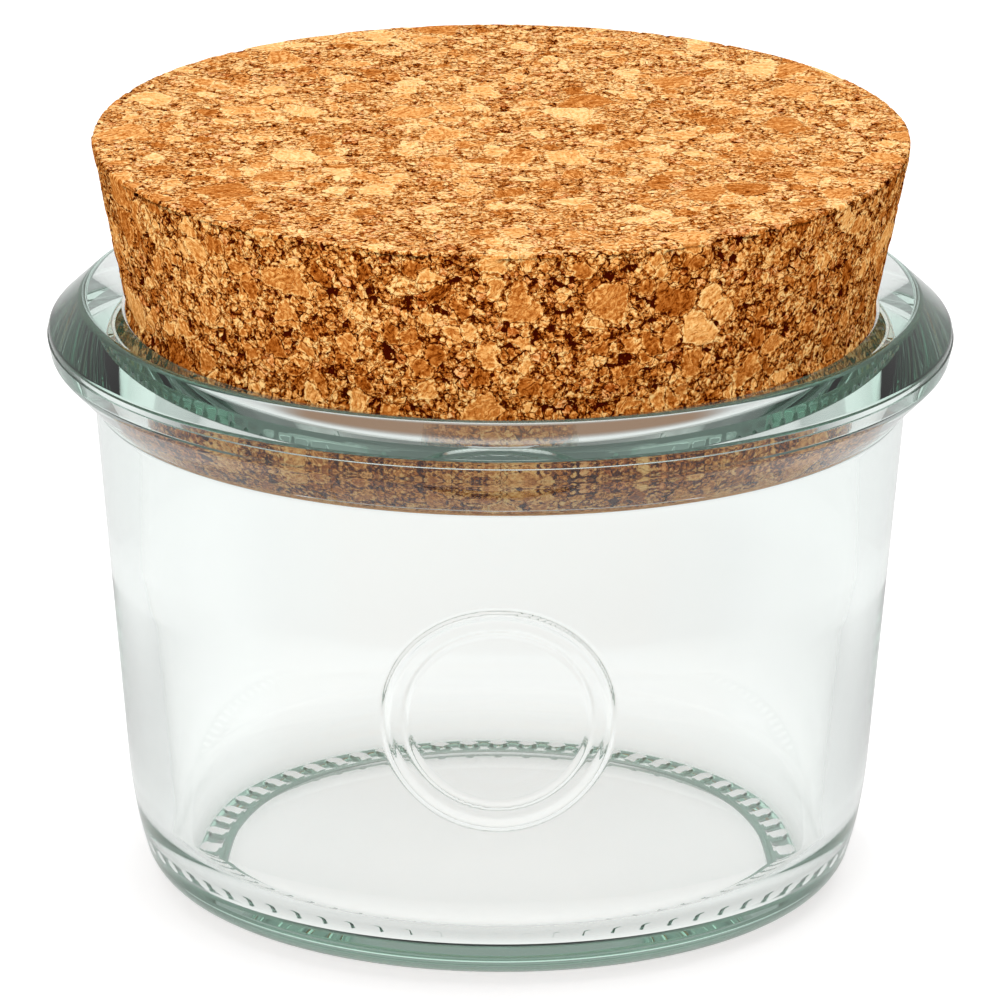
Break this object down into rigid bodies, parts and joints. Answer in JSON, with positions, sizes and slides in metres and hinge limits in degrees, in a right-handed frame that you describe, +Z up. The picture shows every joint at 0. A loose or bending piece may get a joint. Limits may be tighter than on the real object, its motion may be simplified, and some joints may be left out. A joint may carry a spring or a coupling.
{
  "type": "glass jar with cork lid",
  "caption": "Low tapered glass storage jar with a broad rim, a stippled foot ring and a plain raised ring on its wall, closed by a tapered cork stopper that lifts out.",
  "frame": {"origin": "centre of the foot ring, on the surface that the jar stands on", "axes": "+Z up along the axis of the jar and the stopper; the raised ring on the wall faces -Y"},
  "size_m": [0.089, 0.089, 0.0758],
  "materials": {
    "glass": "gloss",
    "cork": "matte"
  },
  "bodies": {
    "jar": {"glass_jar": "glass"},
    "lid": {"cork_lid": "cork"}
  },
  "joints": [
    {"name": "lid_lift", "type": "slide", "parent": "jar", "child": "lid", "axis": [0, 0, 1], "range_m": [0, 0.05]}
  ]
}
